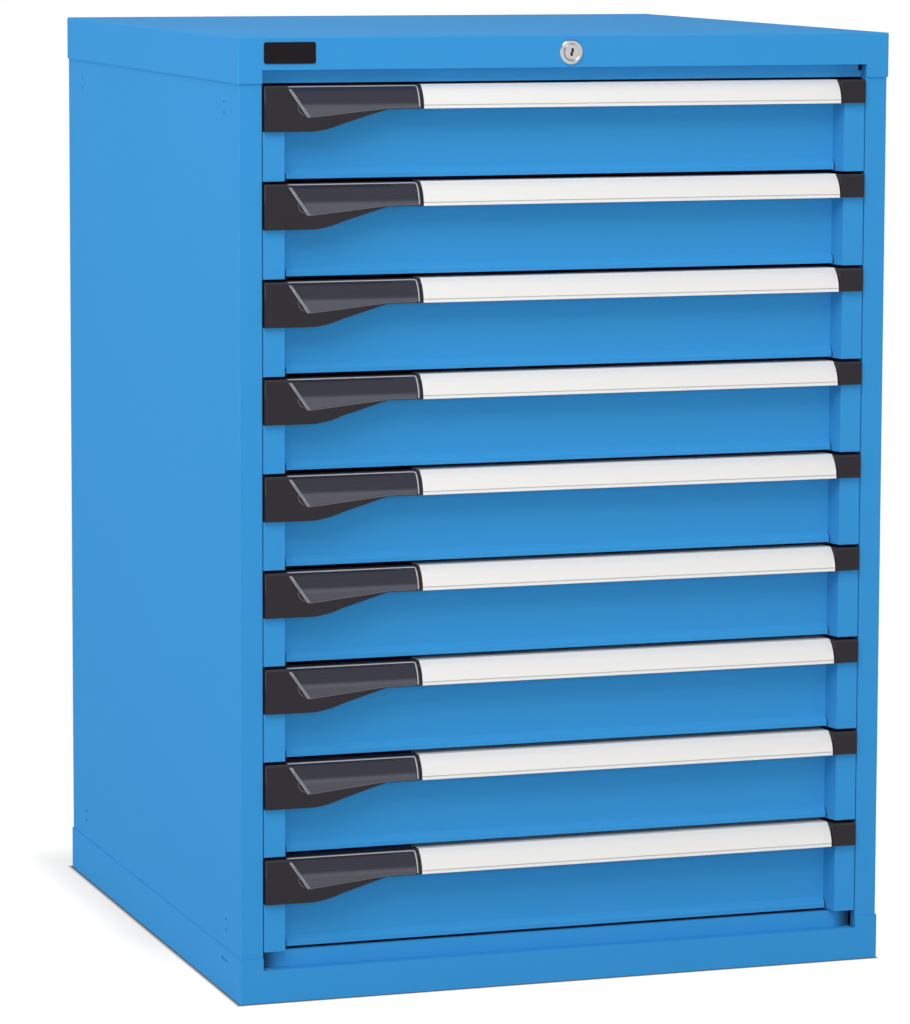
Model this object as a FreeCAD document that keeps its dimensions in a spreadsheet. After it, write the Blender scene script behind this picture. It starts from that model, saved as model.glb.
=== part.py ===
"""Workshop drawer cabinet: nine full-extension drawers in a folded sheet steel carcass, one lock.

Built in millimetres with x across, y from the cap's front face (0) towards the back and z up from
the floor. Every node is shifted in y at the end, so that the origin is the centre of the footprint.
Drawers are numbered from the top. Each piece of a drawer is built once, in the lowest place, and
every drawer node holds it lifted by whole pitches.
"""
import FreeCAD, Part
import math
import os
import Sketcher
from FreeCAD import Placement, Rotation, Vector

DRAWER_COUNT = 9
GUIDED_DRAWERS = (2, 5, 8)
ROOT_TWO = math.sqrt(2)
# share of the wall's thickness by which the curved walls' inner corners lie back and down
HOOD_LEAN = 1.1
COVER_BACK = 0.6
COVER_DOWN = 0.8

SIZES = {
    # carcass
    "cab_width": 717,
    "cab_depth": 722,
    "shell_sheet": 1.5,
    "wall_sheet": 1.5,
    "cap_skirt": 47,
    "cap_rail": 33.3,
    "base_skirt": 47,
    "sill_height": 34.5,
    "edge_round": 1.5,
    "bend_round": 0.8,
    "head_drop": 48,
    "plinth_rise": 52,
    "post_width": 25.5,
    "post_return": 12,
    "rear_flange": 17,
    "crossrail_setback": 13,
    "crossrail_lip": 5,
    "rail_notch_width": 4,
    "rail_notch_height": 7,
    "rail_end_gap": 2.5,
    # uprights and the holes and slots beside them
    "upright_front": 58.5,
    "upright_inset": 65.5,
    "upright_width": 40,
    "screw_radius": 1.6,
    "screw_pitch": 11,
    "screw_margin": 73,
    "slot_length": 23,
    "slot_height": 3,
    "slot_level": 34,
    # telescopic slides
    "slide_gap": 0.35,
    "slide_sheet": 1.8,
    "slide_level": 34,
    "slide_height": 34,
    "slide_start": 26,
    "slide_end": 16,
    "fixed_reach": 15,
    "carriage_reach": 15,
    "runner_reach": 18.5,
    # drawer box and front
    "drawer_pitch": 100,
    "drawer_gap": 3,
    "side_gap": 0.8,
    "drawer_sheet": 1.2,
    "column_width": 23.2,
    "flank_slant": 5,
    "panel_setback": 21,
    "panel_drop": 2,
    "panel_flange": 13,
    "lip_height": 11.5,
    "lip_foot": 4.5,
    "lip_slope": 5,
    "lip_rise": 1.5,
    "lip_end_gap": 0.4,
    "tray_inset": 25.7,
    "tray_rise": 4,
    "tray_height": 78,
    "tray_hem": 8,
    "tray_end": 22,
    # handle, its end mouldings and the label window
    "handle_proud": 3,
    "handle_height": 24.5,
    "handle_wall": 2.2,
    "handle_lean": 11.5,
    "handle_radius": 28,
    "handle_brow": 1.2,
    "handle_bead": 3.5,
    "groove_depth": 0.5,
    "moulding_inset": 0.7,
    "label_length": 171,
    "label_drop": 46.5,
    "label_flat": 53.2,
    "label_curve": 107,
    "label_curve_run": 30.5,
    "label_curve_rise": 7.5,
    "label_taper_run": 49,
    "window_start": 25.4,
    "window_slant": 21.6,
    "window_drop": 32,
    "window_knee": 134.7,
    "window_shallow": 23,
    "window_margin": 5,
    "window_edge": 1,
    "window_thick": 1.2,
    "notch_radius": 8,
    "notch_depth": 1,
    "end_cap_width": 29.3,
    "end_cap_slant": 1.5,
    "block_edge": 2,
    "block_side_edge": 0.8,
    # lock works
    "lock_drop": 17.5,
    "lock_flange_radius": 12.7,
    "lock_flange": 2.5,
    "lock_flange_edge": 1.2,
    "lock_dish": 1.6,
    "lock_dish_depth": 0.8,
    "lock_body_radius": 10.5,
    "lock_body_length": 20,
    "plug_radius": 7.9,
    "plug_gap": 0.08,
    "plug_proud": 0.4,
    "key_height": 8,
    "key_width": 1.5,
    "key_offset": 1.1,
    "key_depth": 3,
    "lock_travel": 10,
    "lock_gap": 0.3,
    "cam_sheet": 2.7,
    "cam_radius": 10,
    "cam_pin": 2,
    "cam_slot_gap": 0.5,
    "lock_bar_sheet": 3,
    "slider_height": 26,
    "bar_width": 12,
    "bar_start": 60,
    "bar_pin": 3,
    "bar_pin_inset": 20,
    "bar_side_gap": 5.5,
    "slot_wall": 3,
    "hook_level": 62,
    "hook_height": 10,
    "hook_reach": 13,
    "catch_width": 6,
    "catch_arm": 4,
    "catch_tooth": 4.5,
    "catch_gap": 1.5,
    "guide_width": 10,
    "guide_wall": 2,
    "guide_drop": 30,
    # name plate
    "plate_width": 55,
    "plate_height": 22,
    "plate_thick": 1,
    "plate_margin": 1.5,
    "plate_level": 5,
    "plate_round": 2.5,
    # length by which a cutting tool reaches past the faces it opens
    "overcut": 1,
}

doc = FreeCAD.newDocument("drawer_cabinet")
nodes = []


class Size:
    """A number with the sheet expression that gives it, so that features follow the sheet."""

    def __init__(self, text, value):
        self.text = text
        self.value = value

    def __add__(self, other):
        other = sized(other)
        return Size(f"({self.text} + {other.text})", self.value + other.value)

    def __sub__(self, other):
        other = sized(other)
        return Size(f"({self.text} - {other.text})", self.value - other.value)

    def __rsub__(self, other):
        return sized(other) - self

    def __mul__(self, factor):
        factor = sized(factor)
        return Size(f"({self.text} * {factor.text})", self.value * factor.value)

    def __truediv__(self, divisor):
        divisor = sized(divisor)
        return Size(f"({self.text} / {divisor.text})", self.value / divisor.value)

    def __neg__(self):
        return self * -1

    __radd__ = __add__
    __rmul__ = __mul__


def sized(number):
    if isinstance(number, Size):
        return number
    return Size(f"({number})", float(number))


class Dimensions:
    """The spreadsheet's cells, each read as a Size under its alias."""

    def __init__(self, sizes):
        self.sheet = doc.addObject("Spreadsheet::Sheet", "dims")
        for row, (alias, number) in enumerate(sizes.items(), start=1):
            self.sheet.set(f"A{row}", alias)
            self.sheet.set(f"B{row}", str(number))
            self.sheet.setAlias(f"B{row}", alias)
        doc.recompute()

    def __getattr__(self, alias):
        return Size(f"dims.{alias}", float(self.sheet.get(alias)))


dims = Dimensions(SIZES)


# ---------------------------------------------------------------- building blocks

def bind(item, name, size):
    item.setExpression(name, sized(size).text)


def place(item, x, y, z):
    bind(item, "Placement.Base.x", x)
    bind(item, "Placement.Base.y", y)
    bind(item, "Placement.Base.z", z)
    return item


def block(name, across, depth, height):
    """Box between the two ends given for x, y and z."""
    box = doc.addObject("Part::Box", name)
    for side, ends in zip(("Length", "Width", "Height"), (across, depth, height)):
        bind(box, side, ends[1] - sized(ends[0]))
    return place(box, across[0], depth[0], height[0])


def rod(name, x, z, radius, depth):
    """Cylinder along y, between the two ends given in depth."""
    cylinder = doc.addObject("Part::Cylinder", name)
    cylinder.Placement = Placement(Vector(), Rotation(Vector(1, 0, 0), -90))
    bind(cylinder, "Radius", radius)
    bind(cylinder, "Height", depth[1] - sized(depth[0]))
    return place(cylinder, x, depth[0], z)


def cone(name, x, z, radii, depth):
    """Cone along y, from its first radius to its second between the two ends given in depth."""
    body = doc.addObject("Part::Cone", name)
    body.Placement = Placement(Vector(), Rotation(Vector(1, 0, 0), -90))
    bind(body, "Radius1", radii[0])
    bind(body, "Radius2", radii[1])
    bind(body, "Height", depth[1] - sized(depth[0]))
    return place(body, x, depth[0], z)


def arc_between(start, end, radius):
    """Arc whose centre is left of start-end where the radius is positive, else right of it."""
    middle = (start + end) / 2
    half = (end - start) / 2
    rise = (radius * radius - half.Length ** 2) ** 0.5
    side = Vector(-half.y, half.x, 0) / half.Length
    turn = 1 if radius > 0 else -1
    centre = middle + side * rise * turn
    crown = centre - side * abs(radius) * turn
    return Part.Arc(start, crown, end)


def sketch_outline(sketch, outline):
    """Close the (across, up[, radius]) corners; a radius makes the edge after its corner an arc."""
    corners = [(sized(corner[0]), sized(corner[1])) for corner in outline]
    count = len(corners)
    ends = []
    for number, corner in enumerate(outline):
        here, there = [Vector(corners[i % count][0].value, corners[i % count][1].value, 0)
                       for i in (number, number + 1)]
        if len(corner) == 2:
            sketch.addGeometry(Part.LineSegment(here, there))
            ends.append((1, 2))
        else:
            sketch.addGeometry(arc_between(here, there, sized(corner[2]).value))
            ends.append((1, 2) if sized(corner[2]).value > 0 else (2, 1))
    for number, corner in enumerate(outline):
        after = (number + 1) % count
        joint = Sketcher.Constraint("Coincident", number, ends[number][1], after, ends[after][0])
        sketch.addConstraint(joint)
        for kind, size in zip(("DistanceX", "DistanceY"), corners[number]):
            fixed = Sketcher.Constraint(kind, -1, 1, number, ends[number][0], size.value)
            bind(sketch, f"Constraints[{sketch.addConstraint(fixed)}]", size)
        if len(corner) == 3:
            radius = sized(corner[2])
            if radius.value < 0:
                radius = -radius
            fixed = Sketcher.Constraint("Radius", number, radius.value)
            bind(sketch, f"Constraints[{sketch.addConstraint(fixed)}]", radius)


def sketch_on(body, role, level):
    """Sketch on one of the body's origin planes, moved along its normal to the level."""
    sketch = body.newObject("Sketcher::SketchObject", body.Name + "_sketch")
    plane = next(item for item in body.Origin.OriginFeatures if item.Role == role)
    sketch.AttachmentSupport = (plane, [""])
    sketch.MapMode = "FlatFace"
    bind(sketch, "AttachmentOffset.Base.z", level)
    return sketch


def extrusion(name, role, outline, ends):
    """Body of a closed outline between two ends along the axis that its plane faces."""
    body = doc.addObject("PartDesign::Body", name)
    start, stop = sized(ends[0]), sized(ends[1])
    level = -stop if role == "XZ_Plane" else start
    sketch = sketch_on(body, role, level)
    sketch_outline(sketch, outline)
    pad = body.newObject("PartDesign::Pad", name + "_pad")
    pad.Profile = sketch
    bind(pad, "Length", stop - start)
    return body


def round_edges(body, radius, chosen):
    """Fillet the edges of the body's tip that the test picks."""
    doc.recompute()
    base = body.Tip
    names = [f"Edge{number}" for number, edge in enumerate(base.Shape.Edges, start=1) if chosen(edge)]
    fillet = body.newObject("PartDesign::Fillet", body.Name + "_fillet")
    fillet.Base = (base, names)
    bind(fillet, "Radius", radius)
    body.Tip = fillet
    return body


def along(edge, axis):
    return abs(edge.tangentAt(edge.FirstParameter).dot(axis)) > 0.99


def near(edge, x=None, y=None, z=None):
    """Whether the middle of an edge lies at the places given."""
    middle = edge.CenterOfMass
    return all(size is None or abs(got - sized(size).value) < 1e-3
               for got, size in zip(middle, (x, y, z)))


def fuse(name, *pieces):
    union = doc.addObject("Part::MultiFuse", name)
    union.Shapes = list(pieces)
    return union


def common(name, *pieces):
    shared = doc.addObject("Part::MultiCommon", name)
    shared.Shapes = list(pieces)
    return shared


def cut(name, base, *tools):
    rest = doc.addObject("Part::Cut", name)
    rest.Base = base
    rest.Tool = tools[0] if len(tools) == 1 else fuse(name + "_tools", *tools)
    return rest


def mirrored(piece):
    """The same piece on the other side of the cabinet."""
    other = doc.addObject("Part::Mirroring", piece.Name + "_mirrored")
    other.Source = piece
    other.Normal = Vector(1, 0, 0)
    return other


def lifted(piece, number):
    """The lowest drawer's piece at the height of the drawer with this number."""
    copy = doc.addObject("Part::Compound", f"{piece.Name}_{number}")
    copy.Links = [piece]
    bind(copy, "Placement.Base.z", dims.drawer_pitch * (DRAWER_COUNT - number))
    return copy


def node(label, *pieces, number=DRAWER_COUNT):
    """One node of the cabinet: the pieces it holds, moved to the footprint's centre."""
    group = doc.addObject("Part::Compound", "node_" + label)
    group.Label = label
    group.Links = list(pieces)
    place(group, 0, (dims.handle_proud - dims.cab_depth) / 2,
          dims.drawer_pitch * (DRAWER_COUNT - number))
    nodes.append(group)


# ---------------------------------------------------------------- shared places

cab_height = dims.plinth_rise + dims.drawer_pitch * DRAWER_COUNT + dims.head_drop
half_width = dims.cab_width / 2
wall_face = half_width - dims.shell_sheet
wall_back = wall_face - dims.wall_sheet
opening_half = half_width - dims.post_width
post_face = dims.shell_sheet
post_edge = -opening_half
rear_upright = dims.cab_depth - dims.upright_inset
rear_face = dims.cab_depth - dims.shell_sheet
cap_bottom = cab_height - dims.cap_skirt
cap_under = cab_height - dims.shell_sheet
rail_bottom = cab_height - dims.cap_rail

front_half = opening_half - dims.side_gap
moulding_half = front_half - dims.moulding_inset
front_bottom = dims.plinth_rise + dims.drawer_gap / 2
front_top = front_bottom + dims.drawer_pitch - dims.drawer_gap
lip_bottom = front_bottom + dims.lip_rise
lip_face = dims.panel_setback - dims.lip_slope
column_inner = front_half - dims.column_width
panel_half = column_inner - dims.flank_slant
panel_back = dims.panel_setback + dims.drawer_sheet
panel_top = front_top - dims.panel_drop
tray_half = front_half - dims.tray_inset
tray_back = dims.cab_depth - dims.tray_end
tray_floor = front_bottom + dims.tray_rise
tray_top = tray_floor + dims.tray_height

slide_middle = front_bottom + dims.slide_level
slide_back = dims.cab_depth - dims.slide_end
runner_half = dims.slide_height / 2
carriage_inner = runner_half + dims.slide_gap
carriage_half = carriage_inner + dims.slide_sheet
fixed_inner = carriage_half + dims.slide_gap
fixed_half = fixed_inner + dims.slide_sheet
fixed_web = opening_half + dims.slide_sheet

handle_front = -dims.handle_proud
handle_bottom = front_top - dims.handle_height
label_bottom = front_top - dims.label_drop
curve_bottom = handle_bottom + dims.handle_bead
curve_top = front_top - dims.handle_brow
brow_back = handle_front + dims.handle_lean
handle_start = dims.label_length - front_half
handle_stop = front_half - dims.end_cap_width

lock_level = cab_height - dims.lock_drop
cam_back = dims.lock_body_length + dims.lock_gap + dims.cam_sheet
slider_face = cam_back + dims.lock_gap
slider_back = slider_face + dims.lock_bar_sheet
bar_face = slider_back + dims.lock_gap * 2
bar_back = bar_face + dims.lock_bar_sheet
bar_outer = wall_back - dims.bar_side_gap
bar_inner = bar_outer - dims.bar_width
slider_bottom = lock_level - dims.slider_height / 2 - dims.overcut
slider_top = slider_bottom + dims.slider_height
pin_throw = dims.lock_travel / 2
bar_pin_x = -bar_outer + dims.bar_pin_inset
bar_pin_level = slider_bottom + dims.bar_pin + dims.slot_wall + dims.lock_gap * 2
bar_top = bar_pin_level + dims.bar_pin + dims.slot_wall * 2
hook_bottom = front_bottom + dims.hook_level
hook_top = hook_bottom + dims.hook_height


# ---------------------------------------------------------------- carcass

def side_panel():
    """Left wall: a sheet with a front post, its return and a rear flange, and its screw holes."""
    sheet = dims.wall_sheet
    outline = [
        (-wall_face, post_face),
        (post_edge, post_face),
        (post_edge, post_face + dims.post_return),
        (post_edge - sheet, post_face + dims.post_return),
        (post_edge - sheet, post_face + sheet),
        (-wall_back, post_face + sheet),
        (-wall_back, rear_face - sheet),
        (-wall_back + dims.rear_flange, rear_face - sheet),
        (-wall_back + dims.rear_flange, rear_face),
        (-wall_face, rear_face),
    ]
    wall = extrusion("side_wall", "XY_Plane", outline, (dims.shell_sheet, cap_under))
    round_edges(wall, dims.bend_round,
                lambda edge: near(edge, x=post_edge, y=post_face) or near(edge, x=-wall_face, y=post_face))
    holes = wall.newObject("Sketcher::SketchObject", "screw_holes")
    plane = next(item for item in wall.Origin.OriginFeatures if item.Role == "YZ_Plane")
    holes.AttachmentSupport = (plane, [""])
    holes.MapMode = "FlatFace"
    bind(holes, "AttachmentOffset.Base.z", -wall_face)
    for depth in (dims.upright_front, rear_upright):
        for level in (dims.screw_margin, cab_height - dims.screw_margin):
            for step in (-1, 1):
                height = level + dims.screw_pitch / 2 * step
                circle = Part.Circle(Vector(depth.value, height.value, 0), Vector(0, 0, 1),
                                     dims.screw_radius.value)
                number = holes.addGeometry(circle)
                for kind, size in (("DistanceX", depth), ("DistanceY", height)):
                    index = holes.addConstraint(
                        Sketcher.Constraint(kind, -1, 1, number, 3, size.value))
                    bind(holes, f"Constraints[{index}]", size)
                index = holes.addConstraint(
                    Sketcher.Constraint("Radius", number, dims.screw_radius.value))
                bind(holes, f"Constraints[{index}]", dims.screw_radius)
    pocket = wall.newObject("PartDesign::Pocket", "screw_pocket")
    pocket.Profile = holes
    pocket.Reversed = True
    bind(pocket, "Length", dims.wall_sheet)
    return wall


def back_panel():
    """Rear sheet, standing against the side walls' rear flanges."""
    inner = rear_face - dims.wall_sheet
    return block("rear_sheet", (-wall_back, wall_back), (inner - dims.wall_sheet, inner),
                 (dims.shell_sheet, cap_under))


def shell_blank(name, low, high, rounded):
    """Full-size block of the cap or the base with its chosen edges rounded."""
    outline = [(-half_width, 0), (half_width, 0), (half_width, dims.cab_depth),
               (-half_width, dims.cab_depth)]
    blank = extrusion(name, "XY_Plane", outline, (low, high))
    return round_edges(blank, dims.edge_round, rounded)


def shell_mouth(name, low, high):
    """Part of the drawer opening that reaches into the front skirt of the cap or the base."""
    return block(name, (-opening_half, opening_half), (-post_face, post_face * 2), (low, high))


def top_cap():
    """Folded lid over the walls, its front rail shorter than its skirts, pierced for the lock."""
    blank = shell_blank("cap_blank", cap_bottom, cab_height,
                        lambda edge: along(edge, Vector(0, 0, 1)) or near(edge, z=cab_height))
    hollow = block("cap_hollow", (-wall_face, wall_face), (post_face, rear_face),
                   (cap_bottom - dims.overcut, cap_under))
    mouth = shell_mouth("cap_mouth", cap_bottom - dims.overcut, rail_bottom)
    bore = rod("cap_bore", 0, lock_level, dims.lock_body_radius,
               (-dims.overcut, dims.lock_body_length))
    return cut("cap_shell", blank, hollow, mouth, bore)


def base_frame():
    """Folded plinth with a floor sheet, and fixing slots low in its side skirts."""
    blank = shell_blank("base_blank", 0, dims.base_skirt, lambda edge: along(edge, Vector(0, 0, 1)))
    above = dims.base_skirt + dims.overcut
    hollow = block("base_hollow", (-wall_face, wall_face), (post_face, rear_face),
                   (dims.shell_sheet, above))
    mouth = shell_mouth("base_mouth", dims.sill_height, above)
    slot_start = dims.upright_front - dims.slot_length / 2
    slot = block("base_slots", (-half_width - dims.overcut, half_width + dims.overcut),
                 (slot_start, slot_start + dims.slot_length),
                 (dims.slot_level, dims.slot_level + dims.slot_height))
    return cut("base_shell", blank, hollow, mouth, slot)


def cross_rail(name, half, face_edge, far_edge, up):
    """Z-section rail behind the opening's edge: ledge, set-back web and a lip to the rear."""
    sheet = dims.wall_sheet * up
    web = dims.crossrail_setback
    web_back = web + dims.wall_sheet
    lip = web_back + dims.crossrail_lip
    outline = [
        (post_face, face_edge),
        (web, face_edge),
        (web, far_edge),
        (lip, far_edge),
        (lip, far_edge - sheet),
        (web_back, far_edge - sheet),
        (web_back, face_edge - sheet),
        (post_face, face_edge - sheet),
    ]
    return extrusion(name, "YZ_Plane", outline, (-half, half))


def sill_rail():
    """Lower rail, a little shorter than the opening."""
    return cross_rail("rail_below", opening_half - dims.rail_end_gap, dims.sill_height,
                      dims.plinth_rise, 1)


def head_rail():
    """Upper rail, notched beside the posts."""
    rail = cross_rail("rail_above", opening_half, rail_bottom, cap_bottom, -1)
    notch = block("rail_notch", (post_edge - dims.overcut, post_edge + dims.rail_notch_width),
                  (post_face, dims.crossrail_setback + dims.wall_sheet),
                  (rail_bottom - dims.rail_notch_height, rail_bottom + dims.wall_sheet))
    return cut("rail_notched", rail, notch, mirrored(notch))


def upright(name, middle):
    """Channel that carries the fixed slide members, open towards the side wall."""
    near, far = middle - dims.upright_width / 2, middle + dims.upright_width / 2
    sheet = dims.wall_sheet
    outline = [
        (-fixed_web, near),
        (-fixed_web, far),
        (-wall_back, far),
        (-wall_back, far - sheet),
        (-fixed_web - sheet, far - sheet),
        (-fixed_web - sheet, near + sheet),
        (-wall_back, near + sheet),
        (-wall_back, near),
    ]
    return extrusion(name, "XY_Plane", outline, (dims.shell_sheet, cap_under))


def name_plate():
    """Blank plate with rounded corners on the cap's front rail."""
    left = -opening_half + dims.plate_margin
    top = cab_height - dims.plate_level
    outline = [(left, top - dims.plate_height), (left + dims.plate_width, top - dims.plate_height),
               (left + dims.plate_width, top), (left, top)]
    plate = extrusion("plate", "XZ_Plane", outline, (-dims.plate_thick, 0))
    return round_edges(plate, dims.plate_round, lambda edge: along(edge, Vector(0, 1, 0)))


# ---------------------------------------------------------------- slides

def channel(name, web, tip, half_height, sheet, ends):
    """Slide member: a web at x = web with two flanges reaching to x = tip."""
    inward = sheet if tip.value > web.value else -sheet
    low, high = slide_middle - half_height, slide_middle + half_height
    outline = [
        (web, low),
        (tip, low),
        (tip, low + sheet),
        (web + inward, low + sheet),
        (web + inward, high - sheet),
        (tip, high - sheet),
        (tip, high),
        (web, high),
    ]
    return extrusion(name, "XZ_Plane", outline, ends)


def fixed_member():
    return channel("slide_fixed", -fixed_web, -fixed_web + dims.fixed_reach, fixed_half,
                   dims.slide_sheet, (dims.slide_start, slide_back))


def carriage_member():
    web = -front_half + dims.slide_gap
    return channel("slide_carriage", web, web + dims.carriage_reach, carriage_half,
                   dims.slide_sheet, (dims.slide_start, slide_back))


def runner_member():
    """Member on the drawer's own wall, open outwards and nested in the carriage."""
    return channel("slide_runner", -tray_half, -tray_half - dims.runner_reach, runner_half,
                   dims.slide_sheet, (panel_back, tray_back))


# ---------------------------------------------------------------- drawer

def tray():
    """Folded floor and walls with inward hems."""
    sheet = dims.drawer_sheet
    hem = tray_half - dims.tray_hem
    inner = tray_half - sheet
    outline = [
        (-tray_half, tray_floor),
        (tray_half, tray_floor),
        (tray_half, tray_top),
        (hem, tray_top),
        (hem, tray_top - sheet),
        (inner, tray_top - sheet),
        (inner, tray_floor + sheet),
        (-inner, tray_floor + sheet),
        (-inner, tray_top - sheet),
        (-hem, tray_top - sheet),
        (-hem, tray_top),
        (-tray_half, tray_top),
    ]
    return extrusion("tray_fold", "XZ_Plane", outline, (panel_back, tray_back))


def tray_rear():
    inner = tray_half - dims.drawer_sheet
    return block("tray_rear", (-inner, inner), (tray_back - dims.drawer_sheet, tray_back),
                 (tray_floor + dims.drawer_sheet, tray_top - dims.drawer_sheet))


def tray_nose():
    """Strip that carries the tray's floor forward to the front's foot."""
    half = panel_half - dims.lip_end_gap
    return block("tray_nose", (-half, half), (lip_face + dims.drawer_sheet, panel_back),
                 (tray_floor, tray_floor + dims.drawer_sheet))


def front_panel():
    """Recessed front sheet: folded back on top, sloping out to a foot that clears the columns."""
    sheet = dims.drawer_sheet
    face = dims.panel_setback
    foot_top = lip_bottom + dims.lip_foot
    slope_top = lip_bottom + dims.lip_height
    outline = [
        (lip_face, lip_bottom),
        (lip_face, foot_top),
        (face, slope_top),
        (face, panel_top),
        (panel_back + dims.panel_flange, panel_top),
        (panel_back + dims.panel_flange, panel_top - sheet),
        (panel_back, panel_top - sheet),
        (panel_back, slope_top),
        (lip_face + sheet, foot_top),
        (lip_face + sheet, lip_bottom),
    ]
    folded = extrusion("front_fold", "YZ_Plane", outline, (-panel_half, panel_half))
    round_edges(folded, dims.bend_round,
                lambda edge: near(edge, x=0, y=lip_face, z=foot_top)
                or near(edge, x=0, y=face, z=slope_top) or near(edge, x=0, y=face, z=panel_top))
    gap = block("lip_gap", (-panel_half - dims.overcut, -panel_half + dims.lip_end_gap),
                (lip_face - dims.overcut, panel_back), (lip_bottom - dims.overcut, slope_top))
    return cut("front_sheet", folded, gap, mirrored(gap))


def column(name, top):
    """Left column of the drawer's front: a flush face with a square outer and a slanted inner flank."""
    sheet = dims.drawer_sheet
    outline = [
        (-front_half, post_face),
        (-column_inner, post_face),
        (-panel_half, dims.panel_setback),
        (-panel_half - sheet, dims.panel_setback),
        (-column_inner - sheet, post_face + sheet),
        (-front_half + sheet, post_face + sheet),
        (-front_half + sheet, dims.panel_setback),
        (-front_half, dims.panel_setback),
    ]
    folded = extrusion(name, "XY_Plane", outline, (front_bottom, top))
    return round_edges(folded, dims.bend_round,
                       lambda edge: near(edge, x=-front_half, y=post_face)
                       or near(edge, x=-column_inner, y=post_face))


def front_wing():
    """Wing of the front sheet behind the left column and the moulding above it."""
    return block("front_wing", (-front_half, -panel_half), (dims.panel_setback, panel_back),
                 (front_bottom, panel_top))


def catch_pieces():
    """Arm and tooth that the lock bar's hook stands in front of when the bar is up."""
    arm_bottom = hook_top + dims.lock_travel + dims.catch_gap
    tooth_face = bar_back + dims.catch_gap
    tooth_back = tooth_face + dims.catch_tooth
    across = (-front_half, -front_half + dims.catch_width)
    arm = block("catch_arm", across, (panel_back, tooth_back),
                (arm_bottom, arm_bottom + dims.catch_arm))
    tooth = block("catch_tooth", across, (tooth_face, tooth_back),
                  (hook_top + dims.catch_gap, arm_bottom))
    return arm, tooth


# ---------------------------------------------------------------- handle and its mouldings

def hood_outline(wall, bottom, top_back):
    """Section of the grip: upright bead, convex face leaning back, flat brow, all one wall thick."""
    inner_radius = dims.handle_radius - wall
    return [
        (handle_front, bottom),
        (handle_front, curve_bottom, -dims.handle_radius),
        (brow_back, curve_top),
        (brow_back + dims.handle_brow, front_top),
        (top_back, front_top),
        (top_back, front_top - dims.panel_drop),
        (brow_back + wall * HOOD_LEAN, front_top - dims.panel_drop, inner_radius),
        (handle_front + wall, curve_bottom),
        (handle_front + wall, bottom),
    ]


def handle_profile():
    """Aluminium grip: the hooded section with a fine groove above its bead."""
    reach = panel_back + dims.panel_flange
    hood = extrusion("grip_hood", "YZ_Plane", hood_outline(dims.handle_wall, handle_bottom, reach),
                     (handle_start, handle_stop))
    depth = dims.groove_depth
    groove = extrusion("grip_groove", "YZ_Plane", [
        (handle_front - depth, curve_bottom - depth * 2),
        (handle_front + depth, curve_bottom),
        (handle_front - depth, curve_bottom + depth * 2),
    ], (handle_start, handle_stop))
    return cut("grip", hood, groove)


def from_left(run, drop):
    """Point of the drawer's front, measured from its top left corner."""
    return (run - front_half, front_top - drop)


def label_blank():
    """Outline of the left moulding: deep over the column, tapering to the grip's height."""
    curve_end = dims.label_flat + dims.label_curve_run
    outline = [
        from_left(dims.moulding_inset, sized(0)),
        from_left(dims.moulding_inset, dims.label_drop),
        from_left(dims.label_flat, dims.label_drop) + (dims.label_curve,),
        from_left(curve_end, dims.label_drop - dims.label_curve_rise),
        from_left(curve_end + dims.label_taper_run, dims.handle_height),
        from_left(dims.label_length, dims.handle_height),
        from_left(dims.label_length, sized(0)),
    ]
    return extrusion("label_blank", "XZ_Plane", outline, (handle_front, dims.panel_setback))


def label_window():
    """Clear cover let into the left moulding, following the grip's curve."""
    thick = dims.window_thick
    low = front_top - dims.window_drop - dims.window_margin
    strip = extrusion("window_strip", "YZ_Plane", [
        (handle_front, low),
        (handle_front, curve_bottom, -dims.handle_radius),
        (brow_back, curve_top),
        (brow_back + thick * COVER_BACK, curve_top - thick * COVER_DOWN, dims.handle_radius - thick),
        (handle_front + thick, curve_bottom),
        (handle_front + thick, low),
    ], (-front_half, handle_start))
    right = dims.label_length - dims.window_margin
    outline = extrusion("window_outline", "XZ_Plane", [
        from_left(dims.window_start, dims.window_edge),
        from_left(dims.window_start + dims.window_slant, dims.window_drop),
        from_left(dims.window_knee, dims.window_shallow),
        from_left(right, dims.window_shallow),
        from_left(right, dims.window_edge),
    ], (handle_front - dims.overcut, dims.panel_setback))
    return common("window", strip, outline)


def block_section(name, bottom, ends):
    """Flat moulding of full depth, bevelled along its top front edge."""
    return extrusion(name, "YZ_Plane", [
        (handle_front, bottom),
        (handle_front, front_top - dims.block_edge),
        (handle_front + dims.block_edge, front_top),
        (dims.panel_setback, front_top),
        (dims.panel_setback, bottom),
    ], ends)


def label_end(window):
    """Left moulding: a flat block beside the window and a hooded grip under it."""
    slant_end = dims.window_start + dims.window_slant
    plan = extrusion("block_plan", "XZ_Plane", [
        from_left(dims.moulding_inset, sized(0)),
        from_left(dims.moulding_inset, dims.label_drop),
        from_left(slant_end, dims.label_drop),
        from_left(slant_end, dims.window_drop),
        from_left(dims.window_start, sized(0)),
    ], (handle_front, dims.panel_setback))
    side_edge = dims.block_side_edge
    bevelled = extrusion("block_bevel", "XY_Plane", [
        (-moulding_half + side_edge, handle_front),
        (slant_end - front_half, handle_front),
        (slant_end - front_half, dims.panel_setback),
        (-moulding_half, dims.panel_setback),
        (-moulding_half, handle_front + side_edge),
    ], (label_bottom, front_top))
    section = block_section("label_section", label_bottom, (-moulding_half, handle_start))
    flat_block = common("label_block", plan, bevelled, section)
    hood = extrusion("label_hood", "YZ_Plane",
                     hood_outline(dims.handle_wall, label_bottom, dims.panel_setback),
                     (-moulding_half, handle_start))
    moulding = common("label_solid", label_blank(), fuse("label_body", flat_block, hood))
    notch_x, notch_z = from_left(slant_end - dims.window_slant / 2 + dims.notch_radius,
                                 dims.window_drop * 2 / 3)
    notch = rod("label_notch", notch_x, notch_z, dims.notch_radius,
                (handle_front - dims.notch_depth, handle_front + dims.notch_depth))
    return cut("label_moulding", moulding, window, notch)


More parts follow.
